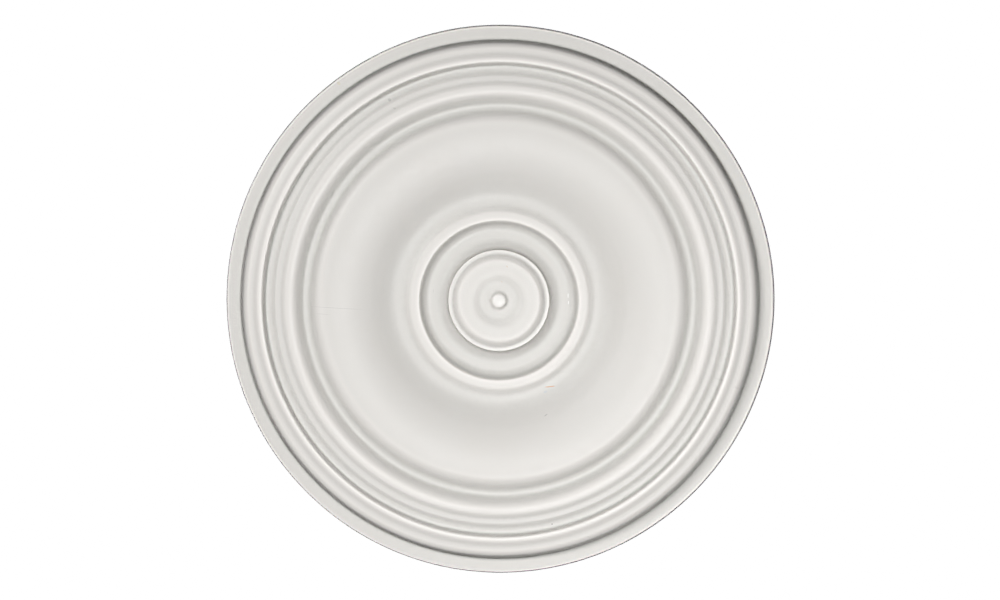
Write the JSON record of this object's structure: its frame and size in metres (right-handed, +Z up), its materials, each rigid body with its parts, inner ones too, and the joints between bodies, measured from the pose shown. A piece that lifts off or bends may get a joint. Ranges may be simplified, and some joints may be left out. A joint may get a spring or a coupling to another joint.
{
  "type": "ceiling rose",
  "caption": "Plain round ceiling rose with concentric mouldings, a dished field and a low central boss, made to be fixed flat against a ceiling round a pendant light.",
  "frame": {"origin": "centre of the flat back, on the turning axis, where the rose meets the ceiling", "axes": "+Z up into the ceiling, along the turning axis, so the moulded face looks down along -Z; X and Y are alike, because the rose is round"},
  "size_m": [0.5, 0.5, 0.0317],
  "materials": {
    "painted_plaster": "matt white paint over smooth cast gypsum plaster"
  },
  "bodies": {
    "root": {"rose_casting": "painted_plaster"}
  },
  "joints": []
}
